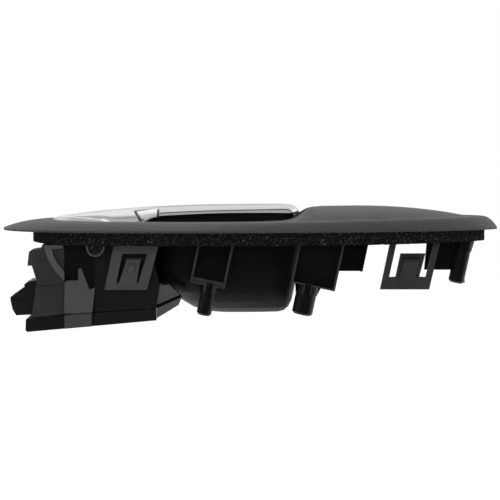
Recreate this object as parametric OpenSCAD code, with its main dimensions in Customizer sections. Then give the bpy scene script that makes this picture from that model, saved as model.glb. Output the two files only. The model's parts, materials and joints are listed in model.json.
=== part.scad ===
// Interior door handle for a car. An eye-shaped bezel carries a bright release lever over a deep
// finger cup. Behind it a moulded carrier has the posts, rib boxes and snap towers that fit the door
// trim, with a foam gasket round it and the lever's mechanism housing below its left end.
// X runs along the bezel, +Z faces the cabin, +Y is the far long side, Z = 0 is the seat on the trim.

/* [Bezel] */
// Length of the bezel from tip to tip
bezel_l = 250; // [246:1:256]
// Width of the bezel at its widest place
bezel_w = 76; // [74:1:84]
// Distance from the left tip to the widest place
widest_from_left = 90; // [86:1:94]
// Height of the lip at the bezel's outer edge
lip_h = 1; // [0.6:0.1:1.4]
// Width of the rolled rim along the sides
rim_w = 8; // [6:0.5:9]
// Width of the rolled rim at the blunt left tip
tip_run = 23; // [18:1:24]
// Height of the rim's crest at the left
crest_left = 4.9; // [4.6:0.1:6]
// Height of the rim's crest at the right tip
crest_right = 6.7; // [6:0.1:8]
// Wall of the bezel
bezel_wall = 2; // [1.6:0.1:2.2]
// Height of the palm dome above the crest
dome_h = 6.1; // [4:0.1:7]
// Distance from the right tip to the dome's foot
dome_from_tip = 16; // [14:1:24]

/* [Pocket] */
// Distance from the bezel's left tip to the pocket
pocket_from_left = 24.5; // [24:0.5:27]
// Length of the pocket's opening
pocket_l = 129.5; // [126:0.5:132]
// Width of the pocket's opening
pocket_w = 49; // [46:0.5:50]
// Width of the carrier's ledge under the pocket's edge
ledge_w = 2.5; // [2:0.1:3]
// Depth of the finger cup below the seat
cup_depth = 41.8; // [36:0.2:46]
// Distance from the lever's pivot to the finger cup
cup_from_pivot = 35.5; // [35:0.5:38]
// Wall of the finger cup
cup_wall = 2; // [1.6:0.1:2.4]

/* [Gasket] */
// Thickness of the foam gasket
foam_t = 5.8; // [4:0.1:6]
// Distance from the bezel's edge to the foam
foam_inset = 4; // [3:0.1:5]
// Width of the foam
foam_w = 7.5; // [6:0.1:8]
// Radius of the foam's half-round tab
tab_r = 3.7; // [3:0.1:4]

/* [Carrier] */
// Thickness of the carrier's deck
deck_t = 1.6; // [1.2:0.1:1.7]
// Wall of the skirt inside the foam
skirt_t = 1.6; // [1.4:0.1:2]
// Depth of the skirt inside the foam
skirt_h = 6.2; // [5:0.1:7]
// Lean of the posts, boxes and towers, in degrees
lean = 12; // [8:1:14]
// Wall of the rib boxes
box_wall = 1.2; // [1:0.1:1.6]
// Radius of the slim post
post_1_r = 3.7; // [3:0.1:4.5]
// Radius of the stout post
post_2_r = 5.2; // [4.5:0.1:6]
// Radius of the post at the right tip
post_3_r = 4; // [3.5:0.1:4.2]
// Thickness of the snap towers
tower_t = 2.2; // [1.8:0.1:2.6]

/* [Lever] */
// Length of the bright lever
lever_l = 117.6; // [114:0.2:118]
// Distance from the bezel's left tip to the lever
lever_from_left = 31.6; // [31.4:0.1:33]
// Width of the lever at its root
lever_w = 25; // [22:0.5:26]
// Offset of the lever from the bezel's middle line
lever_y = -4; // [-5:0.5:-2]
// Height of the lever's crown at its free end
crown_h = 12.7; // [12:0.1:14]
// Height of the lever's crown at its root
root_h = 7.7; // [7.4:0.1:8]
// Wall of the lever's bright shell
shell_wall = 1.2; // [1:0.1:1.4]
// Radius of the pivot pin
pin_r = 2; // [1.6:0.1:2.2]
// Distance from the lever's left end to the pivot
pivot_from_root = 9.4; // [9:0.1:9.8]
// Height of the pivot above the seat
pivot_z = 0.6; // [0.2:0.1:0.8]
// Length of the crank arm below the pivot
crank_l = 18; // [14:0.5:22]
// Wire of the return spring
spring_wire = 0.9; // [0.7:0.1:1]

/* [Mechanism] */
// Wall of the mechanism housing
housing_wall = 1.8; // [1.4:0.1:2.2]
// Half width of the mechanism housing
housing_half = 18; // [17.8:0.1:18.4]
// Radius of the small screws
screw_r = 1.5; // [1.2:0.1:1.8]
// Radial clearance of the pivot pin
pin_gap = 0.04; // [0.02:0.01:0.08]
// Gap between neighbouring pieces
gap = 0.3; // [0.2:0.05:0.4]

/* [Hidden] */

grained_grey = [0.27, 0.27, 0.28];
satin_black = [0.1, 0.1, 0.11];
foam_black = [0.04, 0.04, 0.04];
chrome = [0.86, 0.87, 0.89];
steel = [0.62, 0.63, 0.65];
rubber = [0.07, 0.07, 0.07];
far = 200;

left_tip = -bezel_l / 2;
widest_x = left_tip + widest_from_left;
reach_left = widest_from_left;
reach_right = bezel_l - widest_from_left;
pocket_left = widest_from_left - pocket_from_left;
pocket_right = pocket_l - pocket_left;

// Helpers

function clamp01(t) = min(1, max(0, t));
function smooth(t) = let(c = clamp01(t)) c * c * (3 - 2 * c);

// Half width of an eye-shaped outline at x, blunt at its left and drawn out at its right
function eye_half(x, left, right, half) =
    let(u = min(1, abs(x - widest_x) / (x < widest_x ? left : right)))
    x < widest_x ? half * pow(1 - pow(u, 2.6), 0.385) : half * pow(1 - u * u, 0.6);

function eye_point(a, left, right, half) =
    let(x = widest_x + cos(a) * (cos(a) < 0 ? left : right))
    [x, sign(sin(a)) * eye_half(x, left, right, half)];

function eye(left, right, half, n = 90) = [for (i = [0:n - 1]) eye_point(i * 360 / n, left, right, half)];

// Half width of the pocket's opening at x, drawn in by an inset
function pocket_half(x, inset = 0) =
    let(u = min(1, abs(x - widest_x) / ((x < widest_x ? pocket_left : pocket_right) - inset)))
    (pocket_w / 2 - inset) * pow(1 - pow(u, 2.2), 0.45);

function pocket_point(a, inset = 0) =
    let(x = widest_x + cos(a) * ((cos(a) < 0 ? pocket_left : pocket_right) - inset))
    [x, sign(sin(a)) * pocket_half(x, inset)];

function pocket(inset = 0, n = 60) = [for (i = [0:n - 1]) pocket_point(i * 360 / n, inset)];

// Triangles between neighbouring rings of n points
function ring_sides(n, k) = [
    for (r = [0:k - 1])
        for (i = [0:n - 1])
            let(a = r * n + i, b = r * n + (i + 1) % n)
                each [[a, b + n, b], [a, a + n, b + n]]
];

// Triangles that close a ring of n points with strips across it
function ring_cap(n, first) = [
    for (i = [0:n / 2 - 1])
        each [
            if (i + 1 < n / 2) [first + i, first + i + 1, first + n - i - 1],
            if (i > 0) [first + i, first + n - i - 1, first + n - i]
        ]
];

function turned(faces) = [for (f = faces) [f[2], f[1], f[0]]];

// Closed skin over a stack of rings, with a strip cap at either end
module skin(rings) {
    n = len(rings[0]);
    k = len(rings) - 1;
    polyhedron(
        points = [for (r = rings) each r],
        faces = concat(ring_sides(n, k), ring_cap(n, 0), turned(ring_cap(n, k * n)))
    );
}

// Closed skin whose last ring joins its first
module ring_skin(rings) {
    n = len(rings[0]);
    k = len(rings);
    wrap = [for (f = ring_sides(n, k)) [for (v = f) v % (n * k)]];
    polyhedron(points = [for (r = rings) each r], faces = wrap);
}

module slab(outline, z0, h) translate([0, 0, z0]) linear_extrude(h) polygon(outline);

// Outline in Y and Z, extruded from x0 to x1
module across(outline, x0, x1)
    translate([x0, 0, 0]) rotate([90, 0, 90]) linear_extrude(x1 - x0) polygon(outline);

// Outline in X and Z, extruded from y0 to y1
module side_slab(outline, y0, y1)
    translate([0, y1, 0]) rotate([90, 0, 0]) linear_extrude(y1 - y0) polygon(outline);

module cylinder_y(x, y0, y1, z, r)
    translate([x, y1, z]) rotate([90, 0, 0]) cylinder(h = y1 - y0, r = r, $fn = 48);

module cylinder_z(x, y, z0, z1, r) translate([x, y, z0]) cylinder(h = z1 - z0, r = r, $fn = 48);

// Places that the lever, the deck's slot and the housing share

lever_x0 = left_tip + lever_from_left;
lever_x1 = lever_x0 + lever_l;
lever_mid = (lever_x0 + lever_x1) / 2;
pivot_x = lever_x0 + pivot_from_root;
cup_right = widest_x + pocket_right - ledge_w;
cup_left = pivot_x + cup_from_pivot;
cup_l = cup_right - cup_left;
cup_mid = (cup_left + cup_right) / 2;
right_tip = bezel_l / 2;
crown_run = 63;
slot_x0 = lever_x0 - 3;
slot_x1 = pivot_x + 27;
slot_half = 11.6;
tail_half = 7.4;
neck_x0 = pivot_x - 7.5;
neck_x1 = slot_x1 - 0.2;
neck_top = -3;
housing_top = -skirt_h - 0.6;
roof_z = housing_top - 2;
web_x = pivot_x + 18;
housing_screw_grip = 5.2;
housing_screw_spots = [
    [slot_x0 - 2, lever_y], [web_x + 5.4, lever_y - 12.9], [web_x + 5.4, lever_y + 12.9]
];

// Bezel

crease_gap = rim_w;
dome_start = left_tip + pocket_from_left + pocket_l - 11;
dome_rise = 14;
dome_top_x = dome_start + 32;
dome_end = bezel_l / 2 - dome_from_tip;
bezel_skirt_t = 1.8;
rim_steps = [0, 0.07, 0.18, 0.32, 0.5, 0.72, 1];
inner_steps = 9;
bezel_facets = 72;

function crest(x) = crest_left + (crest_right - crest_left) * clamp01(x / (bezel_l / 2 - 13));

function dome(x, y) =
    let(
        half = max(1, eye_half(x, reach_left, reach_right, bezel_w / 2) - crease_gap),
        along = x < dome_top_x ? 1 : pow(1 - pow(clamp01((x - dome_top_x) / (dome_end - dome_top_x)), 2), 0.9)
    )
    dome_h * smooth((x - dome_start) / dome_rise) * along * pow(max(0, 1 - pow(y / half, 2)), 0.62);

// One point of the bezel's top, s along the run from the outer edge to the pocket
function bezel_top(a, i, shrink = 0) =
    let(
        o = eye_point(a, reach_left, reach_right, bezel_w / 2),
        p = pocket_point(a),
        run = norm(p - o),
        rim = min(run - 2, rim_w + (tip_run - rim_w) * pow(max(0, -cos(a)), 4)),
        k = i - len(rim_steps) + 1,
        d = (k <= 0 ? rim * rim_steps[i] : rim + (run - rim) * pow(k / inner_steps, 1.4))
            * (run - shrink) / run,
        q = o + (p - o) * d / run,
        roll = 1 - pow(1 - clamp01(d / rim), 2.2)
    )
    [q.x, q.y, lip_h + (crest(q.x) - lip_h) * roll + dome(q.x, q.y)];

function lowered(p, z) = [p.x, p.y, z];

module bezel() color(grained_grey) {
    last = len(rim_steps) + inner_steps - 1;
    angles = [for (j = [0:bezel_facets - 1]) j * 360 / bezel_facets];
    foot = deck_t + gap;
    top = [for (i = [0:last]) [for (a = angles) bezel_top(a, i)]];
    under = [
        for (i = [last:-1:1])
            [for (a = angles) let(p = bezel_top(a, i, bezel_skirt_t)) lowered(p, max(0, p.z - bezel_wall))]
    ];
    edge = [for (a = angles) lowered(bezel_top(a, 0), 0)];
    skirt_in = [for (a = angles) lowered(bezel_top(a, last), foot)];
    skirt_out = [for (a = angles) lowered(bezel_top(a, last, bezel_skirt_t), foot)];
    ring_skin(concat([edge], top, [skirt_in, skirt_out], under));
    for (s = bezel_screw_spots)
        difference() {
            cylinder_z(s.x, s.y, deck_t, crest_left + dome(s.x, s.y) - bezel_wall / 2, bezel_boss_r);
            cylinder_z(s.x, s.y, deck_t - 1, deck_t + bezel_screw_l, screw_r + gap / 4);
        }
}

// Foam gasket

foam_left = reach_left - foam_inset - 10.7;
foam_right = reach_right - foam_inset - 2.2;
foam_half = bezel_w / 2 - foam_inset;
foam_glue = 0.05;
tab_x = pivot_x + 5.2;
tab_y = -(foam_half - 8.8);
tab_depth = 3;
tab_rim_t = 0.9;
tab_z = -foam_t - tab_r / 2;

module foam_gasket() color(foam_black) {
    difference() {
        slab(eye(foam_left, foam_right, foam_half), -foam_t, foam_t - foam_glue);
        slab(eye(foam_left - foam_w, foam_right - foam_w / 2, foam_half - foam_w), -foam_t - 1, foam_t + 2);
    }
    cylinder_y(tab_x, tab_y - tab_depth, tab_y, tab_z, tab_r);
}

// Carrier

skirt_half = foam_half - foam_w - gap;
skirt_left = foam_left - foam_w - gap;
skirt_right = foam_right - foam_w / 2 - gap;
function skirt_half_at(x) = eye_half(x, skirt_left, skirt_right, skirt_half);
deck_half = bezel_w / 2 - 5;
bezel_boss_r = 3.2;
bezel_screw_l = 4;
bezel_screw_spots = [[cup_right + 17.5, 11], [cup_right + 17.5, -11], [right_tip - 43, 0]];
housing_boss_r = 2.3;
box_lip = 0.8;
near_box_x = cup_mid - 5;
far_box_x = cup_right + 10.3;
left_tower_x = pivot_x + 28.8;

// Half length, middle and half width of the finger cup's mouth at a depth share t
cup_sweep = 0.427 * cup_l;
function cup_x0(t) = cup_left + cup_sweep * (1 - sqrt(max(0, 1 - t * t)));
function cup_x1(t) =
    cup_right - cup_depth * tan(lean) * t - 5 * (1 - sqrt(max(0, 1 - pow(max(0, (t - 0.85) / 0.15), 2))));
function cup_share(t) = 1 - 0.17 * t - 0.6 * (1 - sqrt(max(0, 1 - t * t)));

// A ring of the cup, grown by its wall, its corners turned by a share of a step
function cup_ring(t, z, grow, n = 48, turn = 0) = [
    for (i = [0:n - 1])
        let(
            a = (i + turn) * 360 / n,
            x0 = cup_x0(t) - grow,
            x1 = cup_x1(t) + grow,
            mouth = cup_mid + cup_l / 2 * cos(a),
            end = cos(a) < 0 ? pow(1 - pow(cos(a), 4), 0.5) : pow(1 - pow(cos(a), 8), 0.3),
            half = (pocket_half(min(mouth, cup_right - 9), ledge_w) * cup_share(t) + grow) * end
        )
        [(x0 + x1) / 2 + (x1 - x0) / 2 * cos(a), sign(sin(a)) * half, z]
];

cup_levels = [1, 0.985, 0.94, 0.86, 0.74, 0.58, 0.4, 0.2, 0];

module finger_cup_shell() {
    inner_depth = cup_depth - cup_wall;
    outside = [for (t = cup_levels) cup_ring(t, -cup_depth * t, cup_wall)];
    inside = [for (i = [len(cup_levels) - 1:-1:0]) cup_ring(cup_levels[i], -inner_depth * cup_levels[i], 0)];
    rim_out = [cup_ring(0, deck_t / 2, cup_wall)];
    rim_in = [cup_ring(0, deck_t / 2, 0)];
    skin(concat(outside, rim_out, rim_in, inside));
}

// Children lean with the mounting direction and stop inside the deck
module leaning(x, y)
    intersection() {
        translate([x, y, 0]) rotate([0, lean, 0]) children();
        translate([-far, -far, -far]) cube([2 * far, 2 * far, far + deck_t / 2]);
    }

// Open-fronted box of thin ribs, its front towards side s, its floor set back behind a thin lip
module rib_box(x, front_y, s, w, depth, h, floor_t)
    leaning(x, front_y)
        scale([1, s, 1])
            difference() {
                translate([-w / 2, -depth, -h]) cube([w, depth, h + 6]);
                translate([-w / 2 + box_wall, -depth + box_wall, -h + floor_t])
                    cube([w - 2 * box_wall, depth, h + 8]);
                translate([-w / 2 + box_wall, -box_lip, -h + box_lip]) cube([w - 2 * box_wall, 1, h]);
            }

// Post with four short ribs round its thicker root, its tip chamfered
module post(x, y, r, z_top, z_tip, root) {
    chamfer = 1;
    root_r = r + 0.4;
    foot = z_top - root;
    leaning(x, y) {
        translate([0, 0, z_tip + chamfer]) cylinder(h = z_top - z_tip - chamfer, r = r, $fn = 48);
        translate([0, 0, z_tip]) cylinder(h = chamfer, r1 = r - chamfer, r2 = r, $fn = 48);
        translate([0, 0, foot]) cylinder(h = root, r = root_r, $fn = 48);
        for (a = [0:90:270])
            rotate([0, 0, a])
                translate([0, box_wall / 2, 0])
                    rotate([90, 0, 0])
                        linear_extrude(box_wall)
                            polygon([[0, z_top], [r + 1.6, z_top], [root_r - 0.1, foot + 0.4], [0, foot + 0.4]]);
    }
}

// Leaning plate with a level foot and a rib behind each side
module plate(x, front_y, s, w, h, depth) {
    slant = h * tan(lean);
    translate([x, front_y, 0])
        scale([1, s, 1]) {
            side_slab([[-w / 2, 0.6], [w / 2, 0.6], [w / 2 - slant, -h], [-w / 2 - slant, -h]], -box_wall, 0);
            for (side = [-w / 2, w / 2 - box_wall])
                side_slab(
                    [
                        [side, 0.6], [side + box_wall, 0.6],
                        [side + box_wall - slant, -h], [side - slant, -h]
                    ],
                    -depth, 0
                );
        }
}

// Snap tower: a frame round a sprung tongue, whose pad stands in front with a barb on it
module snap_tower(x, front_y, s, w, h, taper, leg, slot, window_top, tongue_top) {
    slant = h * tan(lean);
    bar = 3.6;
    border = 2.2;
    base_back = tower_t - 0.4;
    function at(px, pz) = [px + pz * tan(lean), pz];
    function strip(inset, top, foot) = [
        at(-w / 2 + inset, top), at(w / 2 - inset, top),
        at(w / 2 - inset - taper, foot), at(-w / 2 + inset, foot)
    ];
    frame = [[-w / 2, 0.6], [w / 2, 0.6], [w / 2 - slant - taper, -h], [-w / 2 - slant, -h]];
    pad = strip(leg + slot + border, -tongue_top - border, -h + 0.4);
    translate([x, front_y, 0])
        scale([1, s, 1]) {
            difference() {
                side_slab(frame, -tower_t, 0);
                side_slab(strip(leg, -window_top, -h + bar), -tower_t - 1, 1);
            }
            side_slab(strip(leg + slot, -tongue_top, -h + bar - 1), -base_back, -base_back + 1);
            intersection() {
                side_slab(pad, -base_back, 0.3);
                side_slab(frame, -tower_t, 1);
            }
            intersection() {
                side_slab(pad, -base_back, 3);
                across(
                    [
                        [-0.5, -tongue_top - border], [1.4, -tongue_top - border - 0.4],
                        [2.2, -tongue_top - border - 1.8], [2, -tongue_top - border - 3],
                        [-0.5, -tongue_top - border - 8]
                    ],
                    -far, far
                );
            }
        }
}

module carrier() color(satin_black) {
    difference() {
        union() {
            slab(eye(reach_left - 14, reach_right - 6, deck_half), 0, deck_t);
            difference() {
                slab(eye(skirt_left, skirt_right, skirt_half), -skirt_h, skirt_h + deck_t / 2);
                slab(eye(skirt_left - skirt_t, skirt_right - skirt_t, skirt_half - skirt_t), -skirt_h - 1, skirt_h + 1);
            }
            for (s = housing_screw_spots)
                cylinder_z(s.x, s.y, housing_top, deck_t / 2, housing_boss_r);
        }
        // Mouth of the finger cup, and the slot for the lever's mechanism
        slab([for (p = cup_ring(0, 0, cup_wall / 2, turn = 0.5)) [p.x, p.y]], -1, deck_t + 2);
        translate([slot_x0, lever_y - tail_half, -1]) cube([slot_x1 - slot_x0, 2 * tail_half, deck_t + 2]);
        translate([neck_x0, lever_y - slot_half, -1]) cube([slot_x1 - neck_x0, 2 * slot_half, deck_t + 2]);
        for (s = bezel_screw_spots)
            cylinder_z(s.x, s.y, -1, deck_t + 1, screw_r + gap / 2);
        for (s = housing_screw_spots)
            cylinder_z(s.x, s.y, housing_top - 1, housing_top + housing_screw_grip, screw_r + gap / 4);
    }
    finger_cup_shell();
    rib_box(near_box_x, -skirt_half + 0.3, -1, 17.7, 5.5, 27.4, 3);
    rib_box(near_box_x, skirt_half - 0.3, 1, 17, 5.5, 22, 2);
    post(near_box_x + 1.3, -skirt_half + 0.3 + post_1_r, post_1_r, -26.4, -42.7, 4.6);
    snap_tower(left_tower_x, -skirt_half + 1.6, -1, 22.8, 29, 1.7, 5.2, 2.4, 11, 13.4);
    snap_tower(left_tower_x, skirt_half - 3, 1, 22.8, 26, 1.7, 5.2, 2.4, 11, 13.4);
    // Half-round rim round the foam's tab
    difference() {
        cylinder_y(tab_x, tab_y - tab_depth, -skirt_half_at(tab_x) + gap / 2, tab_z, tab_r + tab_rim_t);
        cylinder_y(tab_x, tab_y - tab_depth - 1, tab_y + gap, tab_z, tab_r + pin_gap);
        translate([tab_x - 10, tab_y - 10, -foam_t]) cube([20, 20, 20]);
    }
}

// Fixings under the deck's right half: rib box, plate, posts and snap towers

module trim_fixings() color(satin_black)
    intersection() {
        union() {
            rib_box(far_box_x, -skirt_half + 5.4, -1, 22.5, 6, 28.4, 1.2);
            post(far_box_x - 2.3, -skirt_half + 5.4 + post_2_r, post_2_r, -27.4, -43, 5);
            plate(far_box_x + 15.2, skirt_half - 6.4, 1, 21, 23, 5);
            snap_tower(right_tip - 40.6, -8.2, -1, 25.4, 30.2, 0.6, 3.2, 3.2, -2, 12);
            snap_tower(right_tip - 27.2, 4, 1, 15, 21, 0.4, 2.6, 1.8, -2, 10);
            post(right_tip - 15, 0, post_3_r, 3, -28, 14);
        }
        difference() {
            translate([-far, -far, -far]) cube([2 * far, 2 * far, far]);
            difference() {
                slab(eye(reach_left, reach_right, bezel_w), -skirt_h - gap, skirt_h + 1);
                slab(
                    eye(skirt_left - skirt_t - gap, skirt_right - skirt_t - gap, skirt_half - skirt_t - gap),
                    -skirt_h - 1, skirt_h + 3
                );
            }
        }
    }

// Lever

// Height of the lever's crown and of its lower edge along X
function crown(x) = root_h + (crown_h - root_h) * (1 - pow(1 - clamp01((x - lever_x0) / crown_run), 1.5));
lobe_x = lever_x0 + 30.8;
function lobe(x) = let(d = abs(x - lobe_x)) x < lobe_x ? exp(-pow(d / 9, 4)) : exp(-pow(d / 11.5, 3));
function hem(x) = 6.3 + 2.7 * clamp01((x - lever_x0) / (lever_l * 0.8)) - 4.9 * lobe(x);

// Half width of the lever in plan
function lever_half(x) =
    lever_w / 2 * (1 - 0.14 * smooth((x - pivot_x - 30) / 60) - 0.16 * smooth((pivot_x + 12 - x) / 26));

function lever_plan(a, shrink) =
    let(c = cos(a), x = lever_mid + (lever_l / 2 - shrink) * c)
    [x, sign(sin(a)) * (lever_half(x) - shrink) * pow(1 - pow(abs(c), 4), 0.45)];

// The lever seen from above, grown by a gap
function lever_outline(grow, n) = [
    for (i = [0:n - 1]) let(p = lever_plan(i * 360 / n, -grow)) [p.x, lever_y + p.y]
];

// A ring of the lever's skin, at an angle up its section, drawn in by the shell's wall
function lever_ring(rise, shrink, n = 72) = [
    for (i = [0:n - 1])
        let(
            p = lever_plan(i * 360 / n, shrink),
            spine = min(max(p.x, lever_x0 + 9), lever_x1 - 9),
            out = pow(cos(rise), 0.77),
            up = pow(sin(rise), 0.77),
            x = spine + (p.x - spine) * out,
            edge = hem(p.x)
        )
        [x, lever_y + p.y * out, edge + (crown(x) - shrink - edge) * up]
];

module lever_shell() color(chrome) {
    rises = [0, 9, 20, 34, 50, 66, 80];
    outer = [for (r = rises) lever_ring(r, 0)];
    inner = [for (i = [len(rises) - 1:-1:0]) lever_ring(rises[i], shell_wall)];
    skin(concat(inner, outer));
}

hub_r = 4;
hub_half = 6.6;
grip_half = lever_w / 2 - shell_wall - 3.4;
grip_floor = 3;
crank_half = 2;
ear_clear_r = hub_r + 2.6;
ear_t = 2.4;
ear_y = hub_half + gap;
ear_out = ear_y + ear_t;
core_step_x = slot_x1 - 1.4;
core_low_z = neck_top + 0.4;
spring_turns = 3;
spring_pitch = spring_wire + 0.15;
spring_len = spring_turns * spring_pitch + spring_wire;
spring_y0 = hub_half - spring_len - 0.5;
spring_r = pin_r + 0.5 + spring_wire / 2;
spring_leg = 8;

function core_top(x) =
    let(share = 0.7 - 0.25 * smooth((x - lever_x1 + 30) / 22))
    hem(x) * (1 - share) + (crown(x) - shell_wall) * share - gap;

module lever_core() color(satin_black) {
    stations = [for (x = [pivot_x + 5:6:lever_x1 - 6]) x];
    grip = concat(
        [for (x = stations) [x, core_top(x)]],
        [
            [lever_x1 - 3.5, core_top(lever_x1 - 8) - 0.4], [lever_x1 - 2.4, 7.2],
            [lever_x1 - 4.6, grip_floor + 0.4], [lever_x1 - 6, grip_floor], [core_step_x + 6, grip_floor],
            [core_step_x, deck_t + 0.8], [core_step_x - 0.4, core_low_z], [pivot_x + 2, core_low_z]
        ]
    );
    scoop = [
        [core_step_x + 10, grip_floor - 1], [core_step_x + 14, grip_floor + 2.4],
        [lever_x1 - 14, grip_floor + 2.8], [lever_x1 - 9, grip_floor - 1]
    ];
    crank_foot = pivot_z - crank_l;
    difference() {
        union() {
            intersection() {
                side_slab(grip, lever_y - grip_half, lever_y + grip_half);
                slab(lever_outline(-shell_wall - 1.2, 36), -20, 40);
            }
            cylinder_y(pivot_x, lever_y - hub_half, lever_y + hub_half, pivot_z, hub_r);
            side_slab(
                [
                    [pivot_x - 4, pivot_z], [pivot_x + 6, pivot_z], [pivot_x + 4.4, crank_foot],
                    [pivot_x + 2, crank_foot - 3], [pivot_x - 2, crank_foot - 3], [pivot_x - 4, crank_foot]
                ],
                lever_y - crank_half, lever_y + crank_half
            );
        }
        cylinder_y(pivot_x, lever_y - 20, lever_y + 20, pivot_z, pin_r + pin_gap);
        // Scoop for the fingertips, behind the near wall
        side_slab(scoop, lever_y - grip_half + 2.4, lever_y + grip_half + 1);
        // Room for the ears beside the hub
        for (s = [-1, 1])
            translate([pivot_x - far, lever_y + s * (hub_half + 4) - 4, -far / 2])
                cube([far + ear_clear_r, 8, far]);
        // Room for the spring's coil and its leg, and the slot for the cable's ball
        cylinder_y(pivot_x, lever_y + spring_y0 - gap, lever_y + hub_half + 1, pivot_z, spring_r + 1.1);
        translate([pivot_x, lever_y + hub_half - 0.5 - spring_wire - gap, core_low_z - 5])
            cube([spring_leg + 1, spring_wire + gap + 5, pivot_z - spring_r + spring_wire / 2 + gap - core_low_z + 5]);
        cylinder_y(pivot_x, lever_y - 5, lever_y + 5, crank_foot + 1, 1.8);
        translate([pivot_x - 8, lever_y - 0.6, crank_foot + 0.4]) cube([8, 1.2, 1.2]);
        // Pocket for the sensor's magnet
        cylinder_y(pivot_x + 2.6, lever_y + crank_half - 1.2, lever_y + 5, crank_foot + 6, magnet_r + pin_gap);
    }
}

// Wire of the torsion spring: a leg to the housing, the coil, and a leg under the lever's core
spring_steps = 14;
function coil_point(i) =
    let(a = -90 + i * 360 / spring_steps)
    [
        pivot_x + spring_r * cos(a),
        lever_y + spring_y0 + spring_wire / 2 + spring_pitch * i / spring_steps,
        pivot_z + spring_r * sin(a)
    ];
coil_count = spring_turns * spring_steps;
spring_path = concat(
    [[pivot_x - spring_leg, coil_point(0).y, coil_point(0).z]],
    [for (i = [0:coil_count]) coil_point(i)],
    [[pivot_x + spring_leg, coil_point(coil_count).y, coil_point(coil_count).z]]
);

// Round tube of n sides along a path that turns about Y
function tube_ring(path, i, r, n = 6) =
    let(
        p = path[i],
        q = path[min(i + 1, len(path) - 1)] - path[max(i - 1, 0)],
        t = q / norm(q),
        side = cross(t, [0, 1, 0]),
        u = side / norm(side),
        v = cross(u, t)
    )
    [for (k = [0:n - 1]) p + r * (u * cos(k * 360 / n) + v * sin(k * 360 / n))];

module return_spring() color(steel)
    skin([for (i = [0:len(spring_path) - 1]) tube_ring(spring_path, i, spring_wire / 2)]);

// Pivot pin with its head at the near side and a push-on clip at the far side

pin_head = 1.4;
pin_tail = 1;
clip_t = 0.8;
pin_head_r = pin_r + 1.2;
pin_y0 = lever_y - ear_out - gap / 3;
pin_y1 = lever_y + ear_out + gap / 3 + clip_t + pin_tail;

module pivot_pin() color(steel) {
    cylinder_y(pivot_x, pin_y0, pin_y1, pivot_z, pin_r);
    cylinder_y(pivot_x, pin_y0 - pin_head, pin_y0, pivot_z, pin_head_r);
}

module pin_clip() color(steel) {
    y0 = lever_y + ear_out + gap / 3;
    difference() {
        cylinder_y(pivot_x, y0, y0 + clip_t, pivot_z, pin_head_r);
        cylinder_y(pivot_x, y0 - 1, y0 + clip_t + 1, pivot_z, pin_r + pin_gap / 2);
    }
}

// Bright surround of the lever's root

surround_top = 6.2;
surround_end = pivot_x + 20;

module chrome_surround() color(chrome) {
    band = 1.6;
    lever_gap = 1.8;
    difference() {
        slab(pocket(gap), deck_t, surround_top - deck_t);
        slab(pocket(gap + band), deck_t - 1, surround_top - deck_t);
        slab(lever_outline(lever_gap, 60), deck_t - 1, surround_top);
        translate([surround_end, -far / 2, -far / 2]) cube([far, far, far]);
        // Room for the ends of the pivot pin
        cylinder_y(pivot_x, pin_y0 - pin_head - 2 * gap, pin_y1 + 2 * gap, pivot_z, pin_head_r + gap);
        // The arms dip into the pocket towards their ends
        side_slab(
            [
                [surround_end - 9, 8], [surround_end - 9, surround_top], [surround_end - 5, surround_top - 0.8],
                [surround_end + 1, surround_top - 3.2], [surround_end + 1, 8]
            ],
            -far / 2, far / 2
        );
    }
}

// Mechanism housing

housing_y0 = lever_y - housing_half;
housing_y1 = lever_y + housing_half;
housing_x0 = pivot_x - 20;
housing_x1 = pivot_x + 37.4;
side_slope = 0.153;
function wall_x(z) = housing_x0 + (z - housing_top) * side_slope;
housing_low_l = -43.2;
// The right wall keeps clear of the finger cup
function beside_cup(z) = min(housing_x1 + 1, cup_x0(-z / cup_depth) - cup_wall - gap);
housing_low_r = -38.4;
housing_knee = -27;
housing_profile = [
    [housing_x0, housing_top],
    each [for (z = [housing_top:-4:-22]) [beside_cup(z), z]],
    [housing_x1 + 1, housing_knee], [housing_x1 - 0.8, housing_low_r], [pivot_x - 9, -41.4],
    [wall_x(housing_low_l), housing_low_l]
];
well_half = ear_out - 0.6;
neck_half = well_half + housing_wall;
tray_z = roof_z + housing_wall;
board_x = housing_x0 + 4.6;
board_z = -39;
board_h = 15;
board_w = 18;
hollow_profile = [
    [housing_x0 + housing_wall - 0.4, roof_z],
    each [for (z = [roof_z:-4:-22]) [beside_cup(z) - housing_wall, z]],
    [housing_x1 - housing_wall + 1, housing_knee],
    [housing_x1 - housing_wall - 0.8, -60], [wall_x(housing_low_l) + housing_wall, -60],
    [wall_x(housing_low_l) + housing_wall, housing_low_l]
];
// Draft of the long sides down to their foot
side_draft = 1.2;
cross_profile = [
    [housing_y0, 4], [housing_y1, 4], [housing_y1 - side_draft, -48], [housing_y0 + side_draft, -48]
];
hollow_cross = [
    [housing_y0 + housing_wall + 0.2, 5], [housing_y1 - housing_wall - 0.2, 5],
    [housing_y1 - housing_wall - side_draft - 0.6, -60], [housing_y0 + housing_wall + side_draft + 0.6, -60]
];

// Outline drawn from the pivot
function from_pivot(outline) = [for (p = outline) [pivot_x + p.x, p.y]];

// Points of a bend from p to r, pulled towards q
function bend(p, q, r, n = 8) = [
    for (i = [0:n]) let(t = i / n) (1 - t) * (1 - t) * p + 2 * t * (1 - t) * q + t * t * r
];

panel_outline = from_pivot([
    [-9, -41.3], [-8.8, -25.4], [-7.4, -24.6], [-1.6, -18.6], [-0.4, -18.4], [3.6, -29], [6.4, -28], [5, -40.4]
]);
bracket_outline = from_pivot(concat(
    bend([-18.9, housing_top], [-17.6, -16.4], [-9, -24.4]), bend([-6.8, -21.8], [-14.6, -15], [-15.2, housing_top])
));

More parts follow.
